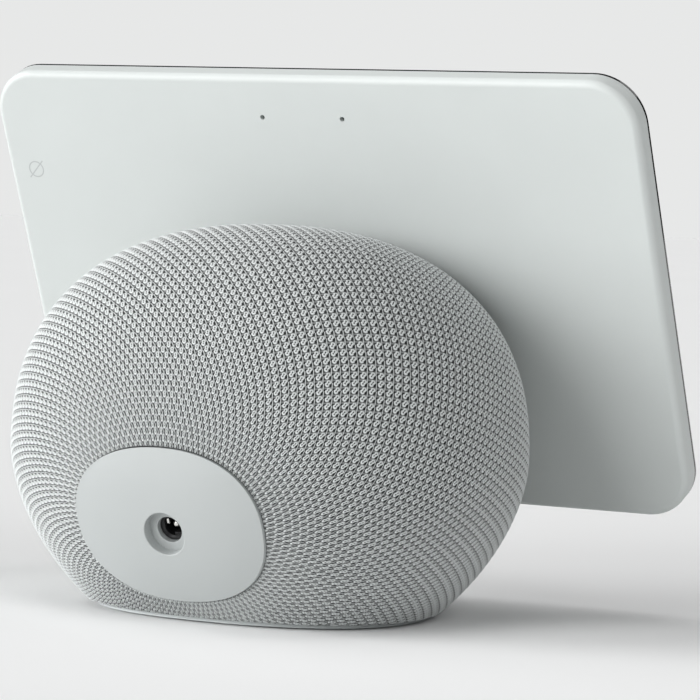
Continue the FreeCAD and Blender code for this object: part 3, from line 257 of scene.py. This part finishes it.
class Look:
    """A material built up on one Principled shader, with its pattern in the row frame."""

    def __init__(self, name, **values):
        self.material = bpy.data.materials.new(name)
        self.material.use_nodes = True
        self.tree = self.material.node_tree
        self.shader = self.tree.nodes["Principled BSDF"]
        for socket, value in values.items():
            self.shader.inputs[socket.replace("_", " ")].default_value = value
        self.place = self.tree.nodes.new("ShaderNodeTexCoord").outputs["Object"]

    def noise(self, size, detail=2.0, stretch=(1, 1, 1)):
        """Soft random pattern, 0 to 1, with features of that size in millimetres."""
        mapping = self.tree.nodes.new("ShaderNodeMapping")
        mapping.inputs["Scale"].default_value = [1 / (size * MM * s) for s in stretch]
        noise = self.tree.nodes.new("ShaderNodeTexNoise")
        noise.inputs["Scale"].default_value = 1.0
        noise.inputs["Detail"].default_value = detail
        self.tree.links.new(self.place, mapping.inputs["Vector"])
        self.tree.links.new(mapping.outputs["Vector"], noise.inputs["Vector"])
        return Field(self.tree, noise.outputs["Fac"])

    def colour(self, share, low, high):
        """Base colour from low to high as share goes from 0 to 1."""
        mix = self.tree.nodes.new("ShaderNodeMix")
        mix.data_type = "RGBA"
        self.tree.links.new(held(share).socket, mix.inputs["Factor"])
        mix.inputs["A"].default_value = (*low, 1)
        mix.inputs["B"].default_value = (*high, 1)
        self.tree.links.new(mix.outputs["Result"], self.shader.inputs["Base Color"])

    def roughness(self, share, low, high):
        value = held(share) * (high - low) + low
        self.tree.links.new(value.socket, self.shader.inputs["Roughness"])

    def bump(self, height, depth):
        """Relief of that depth in millimetres where height goes from 0 to 1."""
        bump = self.tree.nodes.new("ShaderNodeBump")
        bump.inputs["Distance"].default_value = depth * MM
        self.tree.links.new(height.socket, bump.inputs["Height"])
        self.tree.links.new(bump.outputs["Normal"], self.shader.inputs["Normal"])


def shade(colour, amount):
    return tuple(min(1.0, part * amount) for part in colour)


def moulded(name, colour, rough=0.45, grain=0.16, depth=0.008):
    """Moulded plastic: fine spark-eroded grain, faint flow shading and a satin shine."""
    look = Look(name, IOR=1.5)
    fine = look.noise(grain, detail=3)
    flow = look.noise(26, detail=2)
    look.colour(flow * 0.6 + fine * 0.4, shade(colour, 0.955), shade(colour, 1.035))
    look.roughness(fine * 0.7 + flow * 0.3, rough - 0.07, rough + 0.09)
    look.bump(fine, depth)
    return look.material


def rubber(name, colour):
    """Soft rubber: dull, with a fine pitted skin."""
    look = Look(name, IOR=1.52, Sheen_Weight=0.15, Sheen_Roughness=0.6)
    fine = look.noise(0.22, detail=4)
    patches = look.noise(7)
    look.colour(patches * 0.5 + fine * 0.5, shade(colour, 0.85), shade(colour, 1.15))
    look.roughness(fine, 0.62, 0.82)
    look.bump(fine, 0.02)
    return look.material


def metal(name, colour, rough=0.32, brush=(1, 1, 1), scale=0.3):
    """Bare or plated metal, brushed along its least stretched direction."""
    look = Look(name, Metallic=1.0)
    lines = look.noise(scale, detail=3, stretch=brush)
    tarnish = look.noise(5)
    look.colour(lines * 0.5 + tarnish * 0.5, shade(colour, 0.86), shade(colour, 1.08))
    look.roughness(lines * 0.6 + tarnish * 0.4, rough - 0.1, rough + 0.14)
    look.bump(lines, 0.004)
    return look.material


def cast(name, colour, metallic, rough=0.6):
    """Sand-like cast, sintered or blasted surface."""
    look = Look(name, Metallic=metallic)
    fine = look.noise(0.35, detail=5)
    patches = look.noise(6)
    look.colour(fine * 0.6 + patches * 0.4, shade(colour, 0.75), shade(colour, 1.25))
    look.roughness(fine, rough - 0.12, rough + 0.14)
    look.bump(fine, 0.03)
    return look.material


def fibre(name, colour, size, depth):
    """Paper pulp or treated cloth: short fibres lying every way."""
    look = Look(name, Sheen_Weight=0.2)
    one_way = look.noise(size, detail=3, stretch=(3, 1, 1))
    other_way = look.noise(size, detail=3, stretch=(1, 3, 1))
    both = larger(one_way, other_way)
    look.colour(both, shade(colour, 0.7), shade(colour, 1.3))
    look.roughness(both, 0.65, 0.9)
    look.bump(both, depth)
    return look.material


def board(name):
    """A circuit board: solder mask over faint copper tracks."""
    look = Look(name, IOR=1.5, Coat_Weight=0.3, Coat_Roughness=0.2)
    tracks = look.noise(2.4, detail=0, stretch=(1, 6, 1))
    lines = held((abs(tracks - 0.5) - 0.02) * -60.0)
    mottle = look.noise(1.2)
    look.colour(lines * 0.8 + mottle * 0.2, (0.012, 0.075, 0.04), (0.04, 0.17, 0.085))
    look.roughness(mottle, 0.28, 0.42)
    look.bump(lines, 0.03)
    return look.material


def display_glass(name, colour, rough):
    """Dark glass with a polished skin and the faintest smears."""
    look = Look(name, IOR=1.52, Coat_Weight=0.6, Coat_Roughness=0.03)
    smears = look.noise(24, detail=4, stretch=(1, 2, 1))
    look.colour(smears, shade(colour, 0.8), shade(colour, 1.3))
    look.roughness(smears, rough, rough + 0.06)
    look.bump(look.noise(60), 0.002)
    return look.material


def knit(name):
    """The cover's yarn: light grey loops; its colour darkens with depth as painted shade, so the lower
    crossed threads are darker and the deep holes near black, partly the dark inside showing through.
    """
    look = Look(name, IOR=1.45, Sheen_Weight=0.25, Sheen_Roughness=0.5)
    layer = look.tree.nodes.new("ShaderNodeUVMap")
    layer.uv_map = "stitches"
    parts = look.tree.nodes.new("ShaderNodeSeparateXYZ")
    look.tree.links.new(layer.outputs["UV"], parts.inputs["Vector"])
    wander = look.noise(WANDER_SIZE) - 0.5
    u = Field(look.tree, parts.outputs["X"]) + wander * WANDER_ACROSS
    v = Field(look.tree, parts.outputs["Y"]) - wander * WANDER_ALONG
    height = knit_height(u, v)
    fibres = look.noise(FIBRE_SIZE, detail=3)
    melange = look.noise(MELANGE_SIZE, detail=2)
    # Painted shade: the colour darkens with depth from the loops' tops to near black in the holes, so
    # lower threads read darker; fibres and melange vary it at random.
    painted_shade_and_melange = height * 0.9 + (fibres - 0.5) * 0.16 + (melange - 0.5) * 0.12
    look.colour(painted_shade_and_melange, HOLE_COLOUR, YARN_COLOUR)
    look.roughness(fibres, 0.72, 0.92)
    look.bump(height * 0.8 + fibres * 0.2, YARN_BUMP)
    return look.material


def make_finishes():
    """Every finish by the name of its material slot."""
    return {
        "black_glass": display_glass("black_glass", (0.012, 0.013, 0.014), 0.03),
        "adhesive_black": rubber("adhesive_black", (0.02, 0.02, 0.02)),
        "lcd_dark": display_glass("lcd_dark", (0.02, 0.022, 0.025), 0.12),
        "backlight_white": moulded("backlight_white", (0.75, 0.76, 0.76), rough=0.6),
        "cast_frame": cast("cast_frame", (0.42, 0.43, 0.44), metallic=0.9),
        "housing_white": moulded("housing_white", (0.600, 0.632, 0.622)),
        "button_white": moulded("button_white", (0.600, 0.632, 0.622), rough=0.38, grain=0.1),
        "module_black": moulded("module_black", (0.03, 0.03, 0.032)),
        "lens_glass": display_glass("lens_glass", (0.02, 0.02, 0.04), 0.02),
        "board_green": board("board_green"),
        "chip_black": cast("chip_black", (0.025, 0.025, 0.027), metallic=0.0, rough=0.5),
        "foam_black": rubber("foam_black", (0.03, 0.03, 0.03)),
        "switch_metal": metal("switch_metal", (0.6, 0.6, 0.6)),
        "antenna_copper": metal("antenna_copper", (0.62, 0.36, 0.20), rough=0.28),
        "screw_steel": metal("screw_steel", (0.55, 0.55, 0.56), rough=0.3),
        "sheet_steel": metal("sheet_steel", (0.58, 0.59, 0.60), brush=(8, 1, 1)),
        "flex_amber": moulded("flex_amber", (0.45, 0.20, 0.04), rough=0.3, grain=0.5),
        "collar_grey": moulded("collar_grey", (0.17, 0.175, 0.18)),
        "knit_grey": knit("knit_grey"),
        "shell_grey": moulded("shell_grey", (0.10, 0.105, 0.11)),
        "plate_white": moulded("plate_white", (0.425, 0.448, 0.446)),
        "foot_plastic": moulded("foot_plastic", (0.60, 0.64, 0.64)),
        "foot_rubber": rubber("foot_rubber", (0.35, 0.36, 0.36)),
        "jack_black": moulded("jack_black", (0.015, 0.015, 0.016), rough=0.4, grain=0.3),
        "contact_silver": metal("contact_silver", (0.80, 0.79, 0.76), rough=0.2),
        "sink_aluminium": metal("sink_aluminium", (0.62, 0.63, 0.64), brush=(1, 10, 1)),
        "magnet_ferrite": cast("magnet_ferrite", (0.06, 0.06, 0.065), metallic=0.3),
        "plated_steel": metal("plated_steel", (0.50, 0.50, 0.48)),
        "basket_steel": moulded("basket_steel", (0.05, 0.05, 0.055), rough=0.35, grain=0.4),
        "coil_copper": metal("coil_copper", (0.55, 0.27, 0.12), brush=(1, 1, 0.1), scale=1.2),
        "cone_paper": fibre("cone_paper", (0.05, 0.05, 0.05), 0.5, 0.05),
        "surround_rubber": rubber("surround_rubber", (0.035, 0.035, 0.035)),
        "spider_cloth": fibre("spider_cloth", (0.60, 0.42, 0.20), 0.8, 0.08),
        "capacitor_sleeve": moulded("capacitor_sleeve", (0.03, 0.035, 0.05), rough=0.25, grain=0.6),
    }


def dress_frame(frame, finishes):
    """Gives each CAD node the finish of the slot that the record names for it."""
    for part in frame["record"]["subparts"]:
        node = frame["nodes"][part["node"]]
        for place in node.material_slots:
            place.material = finishes[part["material_slot"]]


def added(name, data):
    """A new object in the scene that holds this data."""
    thing = bpy.data.objects.new(name, data)
    bpy.context.scene.collection.objects.link(thing)
    return thing


# ---------------------------------------------------------------- the knit cover


def base_level(x, y, z):
    """Below 0 inside the base's outer form, above 0 outside it."""
    plan = np.abs(x / BASE_HALF_WIDTH) ** PLAN_POWER + np.abs(y / BASE_HALF_DEPTH) ** PLAN_POWER
    up = z - BASE_MIDDLE
    above = plan ** (UPPER_POWER / PLAN_POWER) + (np.maximum(up, 0) / BASE_TOP) ** UPPER_POWER
    below = plan ** (LOWER_POWER / PLAN_POWER) + (np.maximum(-up, 0) / BASE_DROP) ** LOWER_POWER
    return np.where(up > 0, above, below) - 1


def base_normals(points):
    """Unit vectors straight out of the base at these points."""
    step = 0.01
    slopes = []
    for axis in np.eye(3) * step:
        ahead = base_level(*np.moveaxis(points + axis, -1, 0))
        behind = base_level(*np.moveaxis(points - axis, -1, 0))
        slopes.append(ahead - behind)
    normals = np.stack(slopes, -1)
    return normals / np.linalg.norm(normals, axis=-1, keepdims=True)


def surface_points(turn, swing):
    """Where the ray at that turn round the knit's axis and swing away from it leaves the base."""
    x = np.cos(turn) * np.sin(swing)
    y = np.cos(swing)
    z = np.sin(turn) * np.sin(swing) / WALE_STRETCH - WALE_AXIS_SLOPE * y
    near = np.zeros_like(x)
    far = np.full_like(x, 2 * BASE_HALF_WIDTH)
    for _ in range(SURFACE_HALVINGS):
        middle = (near + far) / 2
        inside = base_level(x * middle, y * middle, z * middle + WALE_AXIS_HEIGHT) < 0
        near = np.where(inside, middle, near)
        far = np.where(inside, far, middle)
    return np.stack([x * far, y * far, z * far + WALE_AXIS_HEIGHT], -1)


def courses_at(points):
    """Which course runs through each point."""
    x, y, z = np.moveaxis(points, -1, 0)
    cx, cy, cz = COURSE_POINT
    reach = np.sqrt(((x - cx) / COURSE_WIDENING) ** 2 + (y - cy) ** 2 + (z - cz) ** 2)
    return reach / COURSE_SPACING


def opening_level(points):
    """Below 0 within the rear plate's opening, seen along the Y axis."""
    across = np.abs(points[..., 0] / OPENING_HALF_WIDTH) ** OPENING_POWER
    up = np.abs((points[..., 2] - OPENING_MIDDLE) / OPENING_HALF_HEIGHT) ** OPENING_POWER
    return across + up - 1


def neck_distance(points):
    """How far each point is behind the straight cut at the neck."""
    depth = (points[..., 1] + HEAD_FORWARD) * math.cos(HEAD_TILT)
    depth = depth - (points[..., 2] - HEAD_RISE) * math.sin(HEAD_TILT)
    return depth - NECK_CUT


def knit_grid(steps_across, steps_along):
    """Points of the cover on a grid of wales and courses, with each point's wale and course."""
    columns = WALES * steps_across
    wales = np.arange(columns) / steps_across
    turns = wales * 2 * math.pi / WALES - math.pi / 2
    swings = np.linspace(FIRST_SWING, LAST_SWING, SWING_SAMPLES)
    samples = surface_points(turns[:, None], swings[None, :])
    courses = courses_at(samples)
    first = np.array([np.interp(0, opening_level(s), swings) for s in samples])
    start = courses_at(surface_points(turns, first))
    behind_neck = np.where(neck_distance(samples) > -ROWS_PAST_NECK, courses, 0)
    first_row = math.floor(start.min()) * steps_along
    end_row = math.ceil(behind_neck.max()) * steps_along
    rows = np.arange(first_row, end_row)
    wanted = np.maximum(rows[None, :] / steps_along, start[:, None])
    swing = np.array([np.interp(w, c, swings) for w, c in zip(wanted, courses)])
    points = surface_points(turns[:, None], swing)
    return points, wales, wanted, start


def tucked(points, from_opening):
    """How far the cover turns in at each point, because an edge is near."""
    edge = np.minimum(np.minimum(neck_distance(points), points[..., 2] - HEM_HEIGHT), from_opening)
    return KNIT_TUCK * np.exp(-np.maximum(edge, 0) / TUCK_WIDTH)


def in_strips(wales, courses):
    """Places in a square map for these faces' corners, with the cover cut into strips."""
    each = WALES / STRIPS
    strip = np.floor((wales.mean(-1) + SAME_STITCH) / each)[:, None]
    low, high = math.floor(courses.min()), math.ceil(courses.max())
    across = (wales - strip * each) / each
    up = (courses - low) / (high - low)
    column = strip % 2
    row = np.floor(strip / 2)
    across = column / 2 + STRIP_GAP + across * STRIP_SIDE
    up = row / 2 + STRIP_GAP + up * STRIP_SIDE
    return np.stack([across, up], -1)


def face_corners(values, ahead):
    """The values at the four corners of every face of the grid, from one value per point."""
    return np.stack([values[:, :-1], values[:, 1:], values[ahead, 1:], values[ahead, :-1]], -1)


def cut_and_turn_in(mesh):
    """Cuts the cover off at the neck and the hem, and turns all its edges in."""
    cut = bmesh.new()
    cut.from_mesh(mesh)
    bmesh.ops.remove_doubles(cut, verts=cut.verts, dist=SAME_PLACE)
    lean = Vector((0, math.cos(HEAD_TILT), -math.sin(HEAD_TILT)))
    neck_place = Vector((0, -HEAD_FORWARD, HEAD_RISE)) + lean * NECK_CUT
    hem_place = Vector((0, 0, HEM_HEIGHT * MM))
    for place, outward in ((neck_place * MM, -lean), (hem_place, Vector((0, 0, -1)))):
        bmesh.ops.bisect_plane(
            cut,
            geom=cut.verts[:] + cut.edges[:] + cut.faces[:],
            dist=SAME_PLACE,
            plane_co=place,
            plane_no=outward,
            clear_outer=True,
        )
    rim = [edge for edge in cut.edges if edge.is_boundary]
    made = bmesh.ops.extrude_edge_only(cut, edges=rim)["geom"]
    lip = [vertex for vertex in made if isinstance(vertex, bmesh.types.BMVert)]
    places = np.array([vertex.co[:] for vertex in lip]) / MM
    inward = places - base_normals(places) * (KNIT_LIP - KNIT_TUCK)
    for vertex, place in zip(lip, inward * MM):
        vertex.co = place
    cut.to_mesh(mesh)
    cut.free()


def make_knit_cover(finish, quick):
    """The cover as one knit sheet: relief from the stitches, cut at the neck, hem and plate."""
    steps_across, steps_along = QUICK_STEPS if quick else FINE_STEPS
    points, wales, courses, start = knit_grid(steps_across, steps_along)
    columns, rows = courses.shape
    normals = base_normals(points)
    height = knit_height(np.broadcast_to(wales[:, None], courses.shape), courses)
    depth = KNIT_TOP + KNIT_RELIEF * (1 - height)
    depth += tucked(points, (courses - start[:, None]) * COURSE_SPACING)
    placed = (points - normals * depth[..., None]) * MM

    ahead = (np.arange(columns) + 1) % columns
    index = np.arange(columns * rows).reshape(columns, rows)
    far_courses = np.maximum(courses[:, 1:], courses[ahead, 1:])
    beyond_start = far_courses > np.maximum(start, start[ahead])[:, None] + SAME_STITCH
    behind_neck = neck_distance(points) > -FACES_PAST_CUT
    above_hem = points[..., 2] > HEM_HEIGHT - FACES_PAST_CUT
    kept = beyond_start & face_corners(behind_neck & above_hem, ahead).any(-1)
    faces = face_corners(index, ahead)[kept]

    u_here = np.broadcast_to(wales[:, None], (columns, rows - 1))
    u_next = u_here + 1 / steps_across
    loops_u = np.stack([u_here, u_here, u_next, u_next], -1)[kept]
    loops_v = face_corners(courses, ahead)[kept]

    used, faces = np.unique(faces, return_inverse=True)
    faces = faces.reshape(-1, 4)
    mesh = bpy.data.meshes.new("knit_cover")
    mesh.vertices.add(len(used))
    mesh.vertices.foreach_set("co", placed.reshape(-1, 3)[used].astype(np.float32).ravel())
    mesh.loops.add(faces.size)
    mesh.loops.foreach_set("vertex_index", faces.astype(np.int32).ravel())
    mesh.polygons.add(len(faces))
    mesh.polygons.foreach_set("loop_start", np.arange(0, faces.size, 4, dtype=np.int32))
    mesh.update(calc_edges=True)
    layer = mesh.uv_layers.new(name="stitches")
    layer.data.foreach_set("uv", np.stack([loops_u, loops_v], -1).astype(np.float32).ravel())
    layer = mesh.uv_layers.new(name="OFBake")
    layer.data.foreach_set("uv", in_strips(loops_u, loops_v).astype(np.float32).ravel())

    cut_and_turn_in(mesh)
    mesh.polygons.foreach_set("use_smooth", np.ones(len(mesh.polygons), bool))

    cover = added("knit_cover", mesh)
    mesh.materials.append(finish)
    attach(cover, "housing")
    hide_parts("fabric_cover")


# ---------------------------------------------------------------- the printed mark


def flat_bar(shape, start, end, width):
    """A flat rectangle from start to end, as four points of the flat shape."""
    along = (end - start).normalized()
    aside = Vector((-along.y, along.x, 0)) * width / 2
    corners = [start - aside, end - aside, end + aside, start + aside]
    shape.faces.new([shape.verts.new(corner) for corner in corners])


def make_mute_mark(finish):
    """A struck-out ring printed on the rear face, just above its surface."""
    shape = bmesh.new()
    turns = [2 * math.pi * side / MARK_SIDES for side in range(MARK_SIDES)]
    rings = []
    for radius in (MARK_RADIUS - MARK_LINE / 2, MARK_RADIUS + MARK_LINE / 2):
        rings.append([shape.verts.new((radius * math.cos(t), radius * math.sin(t), 0)) for t in turns])
    for step in range(MARK_SIDES):
        after = (step + 1) % MARK_SIDES
        shape.faces.new((rings[0][step], rings[1][step], rings[1][after], rings[0][after]))
    reach = Vector((-1, 1, 0)).normalized() * MARK_SLASH
    inner = reach.normalized() * (MARK_RADIUS - MARK_LINE / 2)
    flat_bar(shape, -inner, inner, MARK_LINE)
    outer = reach.normalized() * (MARK_RADIUS + MARK_LINE / 2)
    flat_bar(shape, outer, reach, MARK_LINE)
    flat_bar(shape, -reach, -outer, MARK_LINE)
    thick = bmesh.ops.extrude_face_region(shape, geom=shape.faces[:])["geom"]
    raised = [part for part in thick if isinstance(part, bmesh.types.BMVert)]
    bmesh.ops.translate(shape, verts=raised, vec=(0, 0, MARK_THICKNESS))
    bmesh.ops.recalc_face_normals(shape, faces=shape.faces[:])
    cos, sin = math.cos(HEAD_TILT), math.sin(HEAD_TILT)
    right = Vector((1, 0, 0))
    up = Vector((0, sin, cos))
    out = Vector((0, cos, -sin))
    place = Vector((MARK_ACROSS, -HEAD_FORWARD, HEAD_RISE)) + up * MARK_UP + out * HEAD_THICKNESS
    turned = Matrix((right, up, out)).transposed().to_4x4()
    turned.translation = place
    shape.transform(Matrix.Scale(MM, 4) @ turned)
    mesh = bpy.data.meshes.new("mute_mark")
    shape.to_mesh(mesh)
    shape.free()
    mark = added("mute_mark", mesh)
    mesh.materials.append(finish)
    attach(mark, "housing")


# ---------------------------------------------------------------- stage, light and camera


def place_camera():
    """The camera where the photograph was taken from, turned and zoomed as it was."""
    data = bpy.data.cameras.new("camera")
    data.sensor_width = CAMERA_SENSOR
    data.lens = CAMERA_LENS
    data.clip_start = CAMERA_NEAREST * MM
    data.clip_end = CAMERA_FARTHEST * MM
    camera = added("camera", data)
    forward = Vector((
        math.sin(CAMERA_YAW) * math.cos(CAMERA_PITCH),
        -math.cos(CAMERA_YAW) * math.cos(CAMERA_PITCH),
        -math.sin(CAMERA_PITCH),
    ))
    level = Vector((-math.cos(CAMERA_YAW), -math.sin(CAMERA_YAW), 0))
    upright = level.cross(forward)
    right = level * math.cos(CAMERA_ROLL) + upright * math.sin(CAMERA_ROLL)
    up = upright * math.cos(CAMERA_ROLL) - level * math.sin(CAMERA_ROLL)
    turned = Matrix((right, up, -forward)).transposed()
    camera.matrix_world = Matrix.Translation(Vector(CAMERA_PLACE) * MM) @ turned.to_4x4()
    bpy.context.scene.camera = camera


def make_stage():
    """A plain pale floor, under everything."""
    look = Look("floor_pale", Roughness=0.9)
    look.colour(look.noise(FLOOR_PATCHES), FLOOR_DARKER, FLOOR_LIGHTER)
    mesh = bpy.data.meshes.new("floor")
    shape = bmesh.new()
    bmesh.ops.create_circle(shape, cap_ends=True, segments=FLOOR_SIDES, radius=FLOOR_RADIUS * MM)
    shape.to_mesh(mesh)
    shape.free()
    floor = added("floor", mesh)
    mesh.materials.append(look.material)


def add_light(name, turn, rise, strength):
    """A large far soft light: its direction round from +X and up from level, and its brightness."""
    data = bpy.data.lights.new(name, "SUN")
    data.angle = math.radians(LIGHT_SPREAD)
    data.energy = strength
    light = added(name, data)
    turn, rise = math.radians(turn), math.radians(rise)
    towards = Vector((math.cos(turn) * math.cos(rise), math.sin(turn) * math.cos(rise), math.sin(rise)))
    light.rotation_euler = towards.to_track_quat("Z", "Y").to_euler()


def light_scene():
    """All the soft lights, and a surround that the camera sees but that gives almost no light."""
    for light in SOFT_LIGHTS:
        add_light(*light)
    world = bpy.data.worlds.new("surround")
    bpy.context.scene.world = world
    world.use_nodes = True
    tree = world.node_tree
    seen = tree.nodes["Background"]
    seen.inputs["Color"].default_value = (*SURROUND, 1)
    dim = tree.nodes.new("ShaderNodeBackground")
    dim.inputs["Color"].default_value = (*SURROUND, 1)
    dim.inputs["Strength"].default_value = SURROUND_LIGHT
    path = tree.nodes.new("ShaderNodeLightPath")
    mix = tree.nodes.new("ShaderNodeMixShader")
    tree.links.new(path.outputs["Is Camera Ray"], mix.inputs["Fac"])
    tree.links.new(dim.outputs["Background"], mix.inputs[1])
    tree.links.new(seen.outputs["Background"], mix.inputs[2])
    tree.links.new(mix.outputs["Shader"], tree.nodes["World Output"].inputs["Surface"])
    bpy.context.scene.view_settings.view_transform = "Standard"


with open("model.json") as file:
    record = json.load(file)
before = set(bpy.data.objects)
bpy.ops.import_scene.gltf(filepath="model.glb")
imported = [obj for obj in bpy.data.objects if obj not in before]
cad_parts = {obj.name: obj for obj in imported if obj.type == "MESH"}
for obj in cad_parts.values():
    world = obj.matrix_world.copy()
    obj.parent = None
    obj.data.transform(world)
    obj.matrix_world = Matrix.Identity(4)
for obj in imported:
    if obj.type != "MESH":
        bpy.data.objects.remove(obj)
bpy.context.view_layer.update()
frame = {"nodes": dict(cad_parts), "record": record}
finishes = make_finishes()
dress_frame(frame, finishes)
make_knit_cover(finishes["knit_grey"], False)
make_mute_mark(moulded("mark_grey", (0.44, 0.463, 0.463), rough=0.5))
place_camera()
make_stage()
light_scene()
